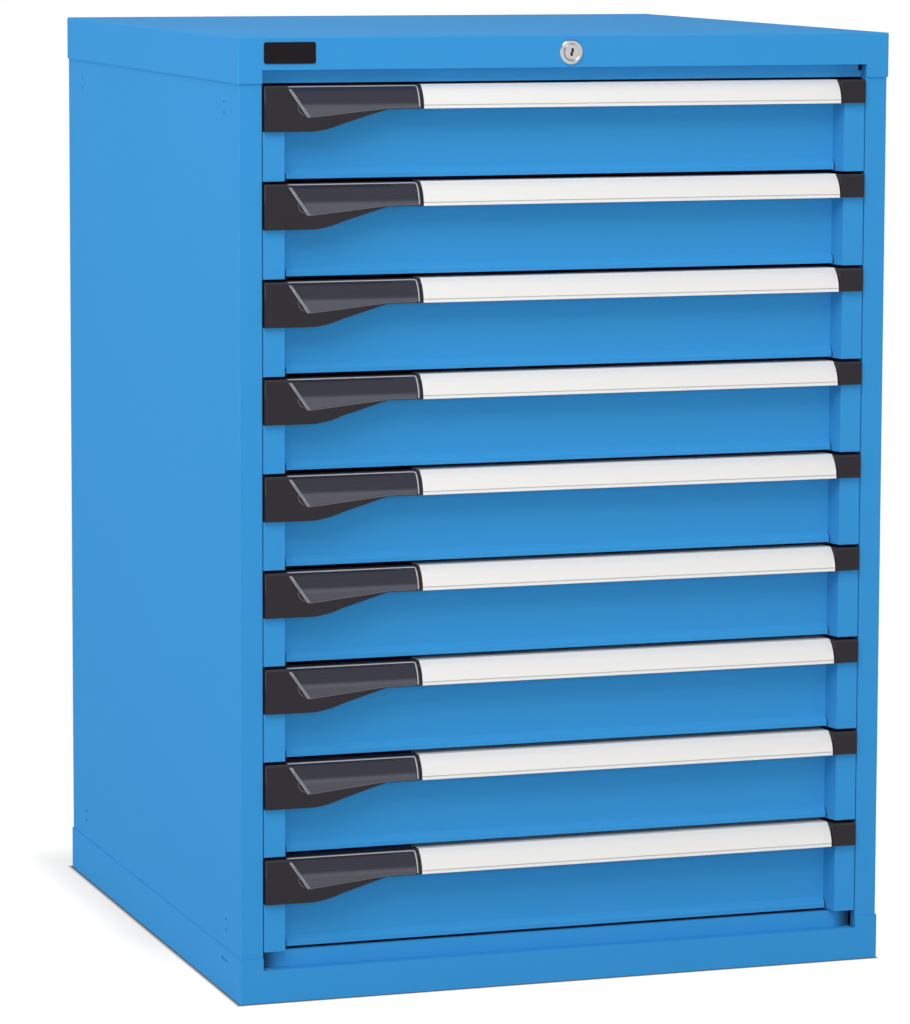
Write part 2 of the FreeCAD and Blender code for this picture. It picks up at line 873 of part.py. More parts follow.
def end_cap():
    """Right moulding: a flat block over the column, bevelled on top, its inner side leaning."""
    section = block_section("cap_section", handle_bottom, (handle_stop, moulding_half))
    plan = extrusion("cap_plan", "XY_Plane", [
        (handle_stop + dims.end_cap_slant, handle_front),
        (moulding_half - dims.block_side_edge, handle_front),
        (moulding_half, handle_front + dims.block_side_edge),
        (moulding_half, dims.panel_setback),
        (handle_stop, dims.panel_setback),
        (handle_stop, brow_back),
    ], (handle_bottom, front_top))
    return common("end_cap", section, plan)


# ---------------------------------------------------------------- lock works

def lock_housing():
    """Flanged barrel through the cap's front rail."""
    face, edge = -dims.lock_flange, dims.lock_flange_edge
    barrel = rod("lock_barrel", 0, lock_level, dims.lock_body_radius, (0, dims.lock_body_length))
    rim = rod("lock_rim", 0, lock_level, dims.lock_flange_radius, (face + edge, 0))
    bevel = cone("lock_bevel", 0, lock_level, (dims.lock_flange_radius - edge, dims.lock_flange_radius),
                 (face, face + edge))
    bore_radius = dims.plug_radius + dims.plug_gap
    bore = rod("lock_bore", 0, lock_level, bore_radius,
               (face - dims.overcut, dims.lock_body_length + dims.overcut))
    dish = cone("lock_dish", 0, lock_level, (bore_radius + dims.lock_dish, bore_radius),
                (face, face + dims.lock_dish_depth))
    return cut("lock_case", fuse("lock_stepped", barrel, rim, bevel), bore, dish)


def lock_plug():
    """Turning plug with a stepped keyway in its face."""
    face = -dims.lock_flange - dims.plug_proud
    cylinder = rod("plug_solid", 0, lock_level, dims.plug_radius,
                   (face, dims.lock_body_length + dims.lock_gap))
    depth = (face - dims.overcut, face + dims.key_depth)
    half, thick, shift = dims.key_height / 2, dims.key_width / 2, dims.key_offset
    upper = block("key_upper", (-thick, thick + shift), depth, (lock_level, lock_level + half))
    lower = block("key_lower", (-thick - shift, thick), depth, (lock_level - half, lock_level))
    return cut("plug", cylinder, upper, lower)


def lock_cam():
    """Disc on the plug's tail with an eccentric pin, low on the right when unlocked."""
    front = dims.lock_body_length + dims.lock_gap
    disc = rod("cam_disc", 0, lock_level, dims.cam_radius, (front, cam_back))
    pin = rod("cam_pin", pin_throw, lock_level - pin_throw, dims.cam_pin,
              (cam_back, slider_back + dims.lock_gap))
    return fuse("cam", disc, pin)


def slanted_slot(x, z, half_slot, run):
    """Outline of a slot that rises at 45 degrees to the right, square at both ends."""
    reach = half_slot * ROOT_TWO
    side = reach / 2
    start_x, start_z = x - reach, z - reach
    stop_x, stop_z = x + run + reach, z + run + reach
    return [
        (start_x + side, start_z - side),
        (stop_x + side, stop_z - side),
        (stop_x - side, stop_z + side),
        (start_x - side, start_z + side),
    ]


def lock_slider():
    """Strip that the cam pulls sideways; its slanted slot lifts the lock bar."""
    slot_half = dims.bar_pin + dims.lock_gap
    pin_half = dims.cam_pin + dims.cam_slot_gap
    left = bar_pin_x - slot_half * 2 - dims.slot_wall
    right = pin_throw + pin_half + dims.slot_wall
    strip = block("slider_strip", (left, right), (slider_face, slider_back),
                  (slider_bottom, slider_top))
    through = (slider_face - dims.overcut, slider_back + dims.overcut)
    lowest = lock_level - pin_throw * ROOT_TWO
    cam_slot = block("slider_cam_slot", (pin_throw - pin_half, pin_throw + pin_half), through,
                     (lowest - pin_half, lock_level - pin_throw + pin_half))
    lift_slot = extrusion("slider_lift_slot", "XZ_Plane",
                          slanted_slot(bar_pin_x, bar_pin_level, slot_half, dims.lock_travel), through)
    return cut("slider", strip, cam_slot, lift_slot)


def lock_bar():
    """Upright strip with a head plate and pin for the slider, and one hook for each drawer."""
    depth = (bar_face, bar_back)
    pin_edge = dims.bar_pin + dims.slot_wall
    strip = block("bar_strip", (-bar_outer, -bar_inner), depth, (dims.bar_start, bar_top))
    head = block("bar_head", (-bar_inner, bar_pin_x + pin_edge), depth, (bar_pin_level - pin_edge, bar_top))
    pin = rod("bar_pin", bar_pin_x, bar_pin_level, dims.bar_pin,
              (slider_face - dims.lock_gap / 2, bar_face))
    hook = block("bar_hook", (-bar_inner, -bar_inner + dims.hook_reach), depth, (hook_bottom, hook_top))
    hooks = [lifted(hook, number) for number in range(1, DRAWER_COUNT + 1)]
    return [strip, head, pin] + hooks


def bar_guide():
    """Loop on the side wall that the lock bar slides in."""
    gap, wall = dims.lock_gap, dims.guide_wall
    low = hook_bottom - dims.guide_drop
    outer = block("guide_outer", (-wall_back, -bar_inner + gap + wall),
                  (bar_face - gap - wall, bar_back + gap + wall), (low, low + dims.guide_width))
    inner = block("guide_inner", (-bar_outer - gap, -bar_inner + gap), (bar_face - gap, bar_back + gap),
                  (low - dims.overcut, low + dims.guide_width + dims.overcut))
    return cut("bar_guide", outer, inner)


def bar_stop():
    """Lug on the side wall that the lock bar rests on when it is down."""
    top = dims.bar_start - dims.lock_gap
    return block("bar_stop", (-wall_back, -bar_inner), (bar_face, bar_back),
                 (top - dims.lock_bar_sheet, top))


def slider_guide(name, x):
    """Loop under the cap that the slider runs in."""
    gap, wall = dims.lock_gap, dims.guide_wall
    outer = block(name + "_outer", (x, x + dims.guide_width),
                  (slider_face - gap - wall, slider_back + gap + wall),
                  (slider_bottom - gap - wall, cap_under))
    inner = block(name + "_inner", (x - dims.overcut, x + dims.guide_width + dims.overcut),
                  (slider_face - gap, slider_back + gap), (slider_bottom - gap, slider_top + gap))
    return cut(name, outer, inner)


# ---------------------------------------------------------------- nodes

def build_carcass():
    wall = side_panel()
    node("side_panel_left", wall)
    node("side_panel_right", mirrored(wall))
    node("back_panel", back_panel())
    node("top_cap", top_cap())
    node("base_frame", base_frame(), sill_rail())
    node("head_rail", head_rail())
    posts = [upright("upright_near", dims.upright_front), upright("upright_far", rear_upright)]
    node("rail_uprights", *posts, *[mirrored(post) for post in posts])
    node("name_plate", name_plate())
    fixed = fixed_member()
    rails = [lifted(fixed, number) for number in range(1, DRAWER_COUNT + 1)]
    node("cabinet_rails", *rails, *[mirrored(rail) for rail in rails])


def build_drawers():
    carriage = carriage_member()
    runner = runner_member()
    wing = front_wing()
    left, right = column("column_left", label_bottom), column("column_right", handle_bottom)
    body = [tray(), tray_rear(), tray_nose(), front_panel(), wing, mirrored(wing), left,
            mirrored(right), runner, mirrored(runner), *catch_pieces()]
    window = label_window()
    grip, moulding, cap = handle_profile(), label_end(window), end_cap()
    carriages = [carriage, mirrored(carriage)]
    for number in range(1, DRAWER_COUNT + 1):
        node(f"drawer_{number}", *body, number=number)
        node(f"handle_profile_{number}", grip, number=number)
        node(f"handle_ends_{number}", moulding, cap, number=number)
        node(f"label_window_{number}", window, number=number)
        node(f"slide_carriage_{number}", *carriages, number=number)


def build_lock():
    node("lock_housing", lock_housing())
    node("lock_plug", lock_plug())
    node("lock_cam", lock_cam())
    node("lock_slider", lock_slider())
    node("lock_bar", *lock_bar())
    guide = bar_guide()
    loops = [slider_guide("guide_near", post_edge / 4), slider_guide("guide_far", post_edge * 3 / 4)]
    node("lock_guides", bar_stop(), *loops, *[lifted(guide, number) for number in GUIDED_DRAWERS])


def check_and_export():
    doc.recompute()
    for item in doc.Objects:
        if {"Invalid", "Error"} & set(item.State):
            raise RuntimeError(f"{item.Label}: {item.State}")
    os.makedirs("parts", exist_ok=True)
    for item in nodes:
        if item.Shape.isNull() or not item.Shape.isValid():
            raise RuntimeError(f"{item.Label} has no valid shape")
        item.Shape.exportStep(os.path.join("parts", item.Label + ".step"))


build_carcass()
build_drawers()
build_lock()
check_and_export()
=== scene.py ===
"""Finishes, light and camera for the workshop drawer cabinet.

The construction comes from the frame; this script dresses its nodes, adds the small surfaces that
only show in close view, and sets the studio. Metres, x to the right, y to the back, z up.
"""
import math

import bpy
import numpy as np
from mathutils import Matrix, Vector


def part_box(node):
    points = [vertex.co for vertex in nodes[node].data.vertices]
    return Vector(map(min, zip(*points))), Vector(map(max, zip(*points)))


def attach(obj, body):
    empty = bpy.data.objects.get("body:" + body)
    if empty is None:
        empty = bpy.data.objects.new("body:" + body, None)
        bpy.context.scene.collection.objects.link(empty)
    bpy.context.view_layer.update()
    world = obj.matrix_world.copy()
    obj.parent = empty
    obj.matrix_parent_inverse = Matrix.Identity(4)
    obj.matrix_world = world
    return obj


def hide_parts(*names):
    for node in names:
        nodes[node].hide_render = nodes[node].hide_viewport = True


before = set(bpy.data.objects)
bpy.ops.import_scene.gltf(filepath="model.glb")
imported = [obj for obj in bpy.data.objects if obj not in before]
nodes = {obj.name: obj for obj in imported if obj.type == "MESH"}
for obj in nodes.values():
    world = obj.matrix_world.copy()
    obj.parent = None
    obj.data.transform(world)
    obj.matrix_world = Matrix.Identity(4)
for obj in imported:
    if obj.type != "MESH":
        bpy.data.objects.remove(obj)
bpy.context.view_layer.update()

DRAWERS = range(1, 10)
MM = 0.001

# In metres, row coordinates ------------------------------------------------------------
DRAWER_PITCH = 0.1
# pressed holes in the slides, painted as dark discs of shade: the first one's place, their spacing,
# radius and soft rim
SLIDE_HOLE_START, SLIDE_HOLE_PITCH, SLIDE_HOLE_RADIUS, HOLE_RIM = 0.030, 0.064, 0.0038, 0.0006
# key slot: share of the plug's radius that it stays within, and depth of the plug's face
KEYWAY_REACH, PLUG_FACE = 0.9, 0.0002
# grip: depth of the foremost strip that holds the groove
GROOVE_REACH = 0.001
# sill of the base: how far behind the base's front, and where the painted shade on its coat sets in
# and how dark it gets
SILL_BEHIND, SILL_SHADE_FADE, SILL_SHADE_DARKEST = (0.004, 0.020), (0.310, 0.332), 0.93
# half of the cabinet's width and depth on the floor
FOOT_HALF_WIDE, FOOT_HALF_DEEP = 0.3585, 0.3610
# painted contact shadow, a dark line round the foot: its reach, the brightness left in it, and its
# narrowing at the right
CONTACT_REACH, CONTACT_LEVEL, CONTACT_NARROWING = 0.007, 0.06, 8.0
# painted shade beside the cabinet: its reach and strength, where it sets in and where it ends
# behind
SHADE_REACH, SHADE_STRENGTH, SHADE_START, SHADE_END = 0.075, 0.22, (-0.30, 0.0), (0.38, 0.54)
# floor: half size, distance over which it turns plain white, and its tone under the lamps
FLOOR_HALF, FLOOR_FADE, FLOOR_TONE = 30.0, (0.6, 1.3), 0.5
# the floor's own light: its share of the look, and its strength
FLOOR_GLOW_SHARE, FLOOR_GLOW = 0.7, 1.36
# room: its light, the backdrop's heights (sine of the elevation) and how dim the ceiling is
ROOM_LIGHT, CEILING_RISE, CEILING_DIM = 0.36, (0.14, 0.42), 0.22
AIM = (0, 0, 0.5)

# In millimetres, from the upper left corner of a drawer's front ------------------------
# label windows
WINDOW_START, WINDOW_SLANT, WINDOW_STOP = 25.4, 21.6, 166.0
WINDOW_EDGE, WINDOW_DROP, WINDOW_KNEE, WINDOW_SHALLOW = 1.0, 32.0, 134.7, 23.0
# section of the grip: drop of its bend, radius above it, and the arc's centre behind and below
BEND_DROP, HOOD_RADIUS, BEND_BACK, BEND_LOW = 21.0, 28.0, 27.84, -2.93
# clear cover: depth of its outer and inner face, and the points along its width and height
COVER_SINK, COVER_BACK, COVER_COLUMNS, COVER_ROWS = 0.3, 1.15, 48, 36
# beads: height over the surface, height over the grip's foremost plane, sides and least taper
RIM_HIGH, RIM_PROUD, BEAD_SIDES, BEAD_END = 0.35, 0.02, 8, 0.2
# rims along the window: half widths of the upper, right and lower run, points of each, and how
# often the corner's points are averaged with their neighbours
RIM_WIDTHS, RIM_POINTS, CORNER_ROUNDS = (0.9, 0.8, 0.5), 60, 4
# beads at the slanted side, as shift and half width; how far down they start, and their points
SLANT_BEADS, SLANT_START, SLANT_POINTS = ((-0.3, 0.42), (1.7, 0.3)), 2.0, 50
# finger notch: radius, distance of its centre from the slanted side, half width, and points
NOTCH_RADIUS, NOTCH_CHORD, NOTCH_WIDE, NOTCH_POINTS = 8.0, 3.8, 0.4, 40
# dark beads as painted shade in the slits beside the front's foot: runs of both, half width, and
# points
SLIT_SHADE_RUNS, SLIT_SHADE_WIDE, SLIT_SHADE_POINTS = (27.9, 636.5), 0.6, 24
# their line: drop and depth of its foot, height, share below the bend, and lean above it
FOOT_DROP, FOOT_BACK, FOOT_RISE, FOOT_BEND, FOOT_LEAN = 95.2, 19.4, 10.6, 0.4, 4.6


# ---------------------------------------------------------------- node helpers

def add(tree, kind, **settings):
    """Node of a kind; each setting fills its property or, if it has none, its input socket."""
    node = tree.nodes.new(kind)
    for name, value in settings.items():
        if hasattr(node, name):
            setattr(node, name, value)
        else:
            node.inputs[name].default_value = value
    return node


def link(tree, source, target):
    tree.links.new(source, target)


def new_group(name, inputs, outputs):
    """Empty shader group with named sockets, given as (name, kind, default) and (name, kind)."""
    tree = bpy.data.node_groups.new(name, "ShaderNodeTree")
    for socket, kind, default in inputs:
        made = tree.interface.new_socket(socket, in_out="INPUT", socket_type="NodeSocket" + kind)
        made.default_value = default
    for socket, kind in outputs:
        tree.interface.new_socket(socket, in_out="OUTPUT", socket_type="NodeSocket" + kind)
    return tree, tree.nodes.new("NodeGroupInput"), tree.nodes.new("NodeGroupOutput")


def math_node(tree, operation, first, second):
    """Math node; a number is set on its socket and a socket is linked to it."""
    node = add(tree, "ShaderNodeMath", operation=operation)
    for index, value in enumerate((first, second)):
        if isinstance(value, (int, float)):
            node.inputs[index].default_value = value
        else:
            link(tree, value, node.inputs[index])
    return node.outputs[0]


def object_axes(tree):
    """Outputs X, Y and Z of the Object coordinates, which are row coordinates in metres."""
    split = add(tree, "ShaderNodeSeparateXYZ")
    link(tree, add(tree, "ShaderNodeTexCoord").outputs["Object"], split.inputs[0])
    return split.outputs


def map_range(tree, value, source, target):
    """Smooth step of a value from one pair of numbers to another."""
    node = add(tree, "ShaderNodeMapRange", interpolation_type="SMOOTHSTEP")
    for socket, number in zip(("From Min", "From Max", "To Min", "To Max"), (*source, *target)):
        node.inputs[socket].default_value = number
    link(tree, value, node.inputs["Value"])
    return node.outputs["Result"]


def scaled_noise(tree, stretch, scale, detail):
    """Noise on Object coordinates, stretched per axis."""
    place = add(tree, "ShaderNodeTexCoord")
    turn = add(tree, "ShaderNodeMapping")
    turn.inputs["Scale"].default_value = stretch
    link(tree, place.outputs["Object"], turn.inputs["Vector"])
    noise = add(tree, "ShaderNodeTexNoise", Scale=scale, Detail=detail)
    link(tree, turn.outputs["Vector"], noise.inputs["Vector"])
    return noise.outputs["Fac"]


def tone_group():
    """Colour drift: the base colour times 1 plus a broad noise of mean 0, by the given amount."""
    tree, enter, leave = new_group(
        "tone drift",
        [("Colour", "Color", (0.5, 0.5, 0.5, 1)), ("Amount", "Float", 0.03)],
        [("Colour", "Color")])
    broad = scaled_noise(tree, (1, 1, 1), 3.1, 3.0)
    centred = math_node(tree, "SUBTRACT", broad, 0.5)
    factor = math_node(tree, "MULTIPLY", centred, enter.outputs["Amount"])
    factor = math_node(tree, "ADD", factor, 1.0)
    paint = add(tree, "ShaderNodeVectorMath", operation="SCALE")
    link(tree, enter.outputs["Colour"], paint.inputs[0])
    link(tree, factor, paint.inputs["Scale"])
    link(tree, paint.outputs[0], leave.inputs["Colour"])
    return tree


def grain_group():
    """Surface grain: noise at the given scale and stretch, out as a height and as a roughness."""
    tree, enter, leave = new_group(
        "surface grain",
        [("Stretch", "Vector", (1, 1, 1)), ("Scale", "Float", 900.0),
         ("Roughness", "Float", 0.4), ("Spread", "Float", 0.08)],
        [("Height", "Float"), ("Roughness", "Float")])
    place = add(tree, "ShaderNodeTexCoord")
    turn = add(tree, "ShaderNodeMapping")
    link(tree, place.outputs["Object"], turn.inputs["Vector"])
    link(tree, enter.outputs["Stretch"], turn.inputs["Scale"])
    noise = add(tree, "ShaderNodeTexNoise", Detail=4.0)
    link(tree, turn.outputs["Vector"], noise.inputs["Vector"])
    link(tree, enter.outputs["Scale"], noise.inputs["Scale"])
    link(tree, noise.outputs["Fac"], leave.inputs["Height"])
    centred = math_node(tree, "SUBTRACT", noise.outputs["Fac"], 0.5)
    spread = math_node(tree, "MULTIPLY", centred, enter.outputs["Spread"])
    rough = math_node(tree, "ADD", spread, enter.outputs["Roughness"])
    link(tree, rough, leave.inputs["Roughness"])
    return tree


TONE = tone_group()
GRAIN = grain_group()


def finish_material(name, colour, drift, grain, bump, **shader):
    """Principled material: drifting colour, grain in roughness and bump, the rest as constants."""
    material = bpy.data.materials.new(name)
    material.use_nodes = True
    tree = material.node_tree
    principled = tree.nodes["Principled BSDF"]
    for socket, value in shader.items():
        principled.inputs[socket.replace("_", " ")].default_value = value
    tone = add(tree, "ShaderNodeGroup", node_tree=TONE, Colour=(*colour, 1), Amount=drift)
    link(tree, tone.outputs["Colour"], principled.inputs["Base Color"])
    skin = add(tree, "ShaderNodeGroup", node_tree=GRAIN, **grain)
    link(tree, skin.outputs["Roughness"], principled.inputs["Roughness"])
    relief = add(tree, "ShaderNodeBump", Strength=bump[0], Distance=bump[1])
    link(tree, skin.outputs["Height"], relief.inputs["Height"])
    link(tree, relief.outputs["Normal"], principled.inputs["Normal"])
    return material


def darken(material, mask, colour):
    """Turn the material's base colour into another where the mask is 1."""
    tree = material.node_tree
    principled = tree.nodes["Principled BSDF"]
    mixed = add(tree, "ShaderNodeMix", data_type="RGBA")
    link(tree, mask, mixed.inputs["Factor"])
    link(tree, principled.inputs["Base Color"].links[0].from_socket, mixed.inputs["A"])
    mixed.inputs["B"].default_value = (*colour, 1)
    link(tree, mixed.outputs["Result"], principled.inputs["Base Color"])


# ---------------------------------------------------------------- finishes

def powder_coat():
    """Satin light blue powder coat with a faint orange peel."""
    return finish_material(
        "light blue powder coat", (0.041, 0.290, 0.645), 0.03,
        {"Scale": 620.0, "Roughness": 0.58, "Spread": 0.10}, (0.12, 0.0004),
        Specular_IOR_Level=0.02)


def painted_sill_shade_coat():
    """The same coat on the sill, darkened towards the open slots at both its ends as painted shade.
    """
    material = powder_coat()
    material.name = "light blue powder coat with painted shade at the slots"
    tree = material.node_tree
    across = math_node(tree, "ABSOLUTE", object_axes(tree)["X"], 0.0)
    # painted shade: the coat darkens towards both ends of the sill, by the distance from the middle
    darken(material, map_range(tree, across, SILL_SHADE_FADE, (0.0, SILL_SHADE_DARKEST)), (0.012, 0.014, 0.026))
    return material


def satin_aluminium():
    """Clear anodised extrusion with fine lines along its length."""
    return finish_material(
        "satin anodised aluminium", (0.815, 0.805, 0.785), 0.02,
        {"Stretch": (0.02, 1.0, 1.0), "Scale": 2600.0, "Roughness": 0.48, "Spread": 0.16},
        (0.10, 0.0002), Metallic=0.15)


def painted_groove_shade():
    """Bottom of the fine groove along the grip, painted a darker grey as shade."""
    return finish_material(
        "grip groove with painted shade", (0.50, 0.49, 0.47), 0.10,
        {"Stretch": (0.02, 1.0, 1.0), "Scale": 2600.0, "Roughness": 0.60, "Spread": 0.10},
        (0.10, 0.0002))


def black_moulding():
    """Charcoal plastic with a fine moulded texture."""
    return finish_material(
        "charcoal moulding", (0.0185, 0.0160, 0.0210), 0.06,
        {"Scale": 1500.0, "Roughness": 0.48, "Spread": 0.10}, (0.18, 0.0003),
        Specular_IOR_Level=0.22)


def painted_edge_highlight():
    """The mouldings' rounded edges: smoother, and paler as a painted highlight."""
    return finish_material(
        "moulding edge with painted highlight", (0.030, 0.029, 0.034), 0.10,
        {"Scale": 900.0, "Roughness": 0.30, "Spread": 0.10}, (0.05, 0.0002))


def plate_black():
    """Smooth black plate, glossier than the mouldings."""
    return finish_material(
        "smooth black plate", (0.009, 0.006, 0.009), 0.05,
        {"Scale": 240.0, "Roughness": 0.34, "Spread": 0.08}, (0.04, 0.0002),
        Specular_IOR_Level=0.1)


def zinc_plate():
    """Zinc plated steel with a cool cloudy tone."""
    return finish_material(
        "zinc plated steel", (0.60, 0.61, 0.62), 0.16,
        {"Scale": 130.0, "Roughness": 0.34, "Spread": 0.22}, (0.08, 0.0002), Metallic=1.0)


def hole_group():
    """Mask of round holes: 1 inside circles in the y, z plane, spaced along y and once per drawer.

    The offsets from the nearest centre are the coordinates less their rounded multiples of the
    spacings, and the mask falls from 1 to 0 round the radius.
    """
    tree, enter, leave = new_group(
        "round holes",
        [("Centre", "Vector", (0, 0, 0)), ("Spacing", "Vector", (1, 1, 1)),
         ("Radius", "Float", 0.004)],
        [("Mask", "Float")])
    place = add(tree, "ShaderNodeTexCoord")
    shifted = add(tree, "ShaderNodeVectorMath", operation="SUBTRACT")
    link(tree, place.outputs["Object"], shifted.inputs[0])
    link(tree, enter.outputs["Centre"], shifted.inputs[1])
    split, steps = add(tree, "ShaderNodeSeparateXYZ"), add(tree, "ShaderNodeSeparateXYZ")
    link(tree, shifted.outputs[0], split.inputs[0])
    link(tree, enter.outputs["Spacing"], steps.inputs[0])
    squares = []
    for axis in ("Y", "Z"):
        turns = math_node(tree, "DIVIDE", split.outputs[axis], steps.outputs[axis])
        whole = math_node(tree, "ROUND", turns, 0.0)
        share = math_node(tree, "SUBTRACT", turns, whole)
        offset = math_node(tree, "MULTIPLY", share, steps.outputs[axis])
        squares.append(math_node(tree, "MULTIPLY", offset, offset))
    distance = math_node(tree, "SQRT", math_node(tree, "ADD", *squares), 0.0)
    beyond = math_node(tree, "SUBTRACT", distance, enter.outputs["Radius"])
    link(tree, map_range(tree, beyond, (0.0, HOLE_RIM), (1.0, 0.0)), leave.inputs["Mask"])
    return tree


def slide_steel():
    """Zinc plated slide section, drawn lengthwise, with a row of pressed holes along it, painted on
    as dark discs of shade.
    """
    material = finish_material(
        "zinc plated slide", (0.50, 0.51, 0.53), 0.20,
        {"Stretch": (1.0, 0.03, 1.0), "Scale": 900.0, "Roughness": 0.36, "Spread": 0.24},
        (0.10, 0.0002), Metallic=1.0)
    low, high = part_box("slide_carriage_1")
    holes = add(material.node_tree, "ShaderNodeGroup", node_tree=hole_group(),
                Centre=(0, low[1] + SLIDE_HOLE_START, (low[2] + high[2]) / 2),
                Spacing=(1, SLIDE_HOLE_PITCH, DRAWER_PITCH), Radius=SLIDE_HOLE_RADIUS)
    # painted shade: the holes are dark discs standing for the unlit space seen through them
    darken(material, holes.outputs["Mask"], (0.02, 0.02, 0.022))
    return material


def chrome_plate():
    """Polished plating with hairline wear."""
    return finish_material(
        "polished plating", (0.60, 0.60, 0.61), 0.04,
        {"Scale": 380.0, "Roughness": 0.28, "Spread": 0.10}, (0.03, 0.0002), Metallic=1.0)


def painted_shade_black():
    """Near black as painted shade: the inside of the key's slot, and the unlit slits beside the
    fronts' feet.
    """
    return finish_material(
        "painted shade for keyway and slits", (0.006, 0.006, 0.007), 0.10,
        {"Scale": 500.0, "Roughness": 0.45, "Spread": 0.10}, (0.05, 0.0002))


def clear_cover():
    """Clear plastic sheet over the dark moulding, a little tinted by it."""
    return finish_material(
        "clear label cover", (0.125, 0.130, 0.185), 0.03,
        {"Scale": 90.0, "Roughness": 0.07, "Spread": 0.04}, (0.02, 0.0002),
        Transmission_Weight=0.75, IOR=1.62)


def painted_rim_highlight():
    """Polished edge of the clear sheet, painted pale as a highlight."""
    return finish_material(
        "painted highlight on the clear sheet's edge", (0.42, 0.42, 0.45), 0.10,
        {"Scale": 700.0, "Roughness": 0.22, "Spread": 0.10}, (0.05, 0.0002))


def painted_dim_rim_highlight():
    """The same edge where it lies against the black moulding, with a dimmer painted highlight."""
    return finish_material(
        "dim painted highlight on the clear sheet's edge", (0.10, 0.10, 0.12), 0.10,
        {"Scale": 700.0, "Roughness": 0.22, "Spread": 0.10}, (0.05, 0.0002))


def dress_faces(name, material, chosen):
    """Second material on the faces of a node that chosen(centres, normals) picks."""
    mesh = nodes[name].data
    count = len(mesh.polygons)
    centres, normals = np.empty((2, count * 3))
    mesh.polygons.foreach_get("center", centres)
    mesh.polygons.foreach_get("normal", normals)
    picked = chosen(centres.reshape(-1, 3), normals.reshape(-1, 3))
    mesh.materials.append(material)
    mesh.polygons.foreach_set("material_index", picked.astype(int))


def in_keyway(centres, _):
    """Faces in the plug's front half, behind its face and nearer to its axis than its skin."""
    low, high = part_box("lock_plug")
    axis = (np.array(low) + high) / 2
    outward = np.hypot(centres[:, 0] - axis[0], centres[:, 2] - axis[2])
    radius = (high[0] - low[0]) / 2
    behind = (centres[:, 1] > low[1] + PLUG_FACE) & (centres[:, 1] < axis[1])
    return (outward < radius * KEYWAY_REACH) & behind


def on_sill(centres, normals):
    """Wide faces of the base frame that look forward from a little behind its front."""
    behind = centres[:, 1] - centres[:, 1].min()
    nearest, farthest = SILL_BEHIND
    wide = np.abs(centres[:, 0]) < FOOT_HALF_WIDE / 2
    return (normals[:, 1] < -0.9) & (behind > nearest) & (behind < farthest) & wide


def in_groove(centres, normals):
    """Faces of the grip's front that lean half up or half down, as only the groove's sides do."""
    front = centres[:, 1] < centres[:, 1].min() + GROOVE_REACH
    half_lean = np.abs(np.abs(normals[:, 2]) - math.sqrt(0.5)) < 0.06
    return front & half_lean & (normals[:, 1] < 0)


def on_bevels(_, normals):
    """Faces that lean half to the front, as the mouldings' bevels do."""
    return np.abs(normals[:, 1] + math.sqrt(0.5)) < 0.02


def paint_nodes():
    """Give every node of the frame its material, and some of their faces a second one."""
    blue, zinc, black, chrome = powder_coat(), zinc_plate(), black_moulding(), chrome_plate()
    aluminium, slide = satin_aluminium(), slide_steel()
    coated = ("side_panel_left", "side_panel_right", "back_panel", "top_cap", "base_frame",
              "head_rail")
    plated = ("rail_uprights", "cabinet_rails", "lock_guides", "lock_bar", "lock_slider",
              "lock_cam")
    finishes = {**dict.fromkeys(coated, blue), **dict.fromkeys(plated, zinc)}
    finishes.update(lock_housing=chrome, lock_plug=chrome, name_plate=plate_black())
    for number in DRAWERS:
        finishes[f"drawer_{number}"] = blue
        finishes[f"slide_carriage_{number}"] = slide
        finishes[f"handle_profile_{number}"] = aluminium
        finishes[f"handle_ends_{number}"] = black
    for name, material in finishes.items():
        mesh = nodes[name].data
        mesh.materials.clear()
        mesh.materials.append(material)
    # the keyway's inner faces are painted near black as shade
    dress_faces("lock_plug", painted_shade_black(), in_keyway)
    # painted shade on the sill's forward faces near both ends
    dress_faces("base_frame", painted_sill_shade_coat(), on_sill)
    edge, groove = painted_edge_highlight(), painted_groove_shade()
    for number in DRAWERS:
        # the mouldings' bevels get a paler colour as a painted highlight
        dress_faces(f"handle_ends_{number}", edge, on_bevels)
        # the groove's sides get a darker grey as painted shade
        dress_faces(f"handle_profile_{number}", groove, in_groove)


# ---------------------------------------------------------------- label windows

def window_point(across, down):
    """Point on the moulding's surface over the label, and its outward normal.

    across and down run from 0 to 1. The left side slants and the lower side has a knee, so x runs
    between the slanted side and the right side, and the drop between the upper side and the knee
    line. Above the bend the section is an arc about (BEND_BACK, BEND_LOW), below it is upright.
    """
    left = WINDOW_START + WINDOW_SLANT * down
    run = left + (WINDOW_STOP - left) * across
    foot = WINDOW_START + WINDOW_SLANT + (WINDOW_STOP - WINDOW_START - WINDOW_SLANT) * across
    lowest = np.interp(foot, (WINDOW_START + WINDOW_SLANT, WINDOW_KNEE),
                       (WINDOW_DROP, WINDOW_SHALLOW))
    drop = WINDOW_EDGE + (lowest - WINDOW_EDGE) * down
    rise = np.maximum(BEND_DROP - drop, 0) - BEND_LOW
    curved = drop < BEND_DROP
    back = np.where(curved, BEND_BACK - np.sqrt(HOOD_RADIUS ** 2 - rise ** 2), 0)
    normal = np.stack([
        np.zeros_like(run),
        np.where(curved, (back - BEND_BACK) / HOOD_RADIUS, -1),
        np.where(curved, rise / HOOD_RADIUS, 0)], axis=-1)
    return np.stack([run, back, -drop], axis=-1), normal


def grid_faces(rows, columns, first=0):
    """Quads of a grid whose vertices are numbered row by row."""
    corner = first + np.arange(rows - 1)[:, None] * columns + np.arange(columns - 1)
    quads = np.stack([corner, corner + 1, corner + columns + 1, corner + columns], axis=-1)
    return quads.reshape(-1, 4)


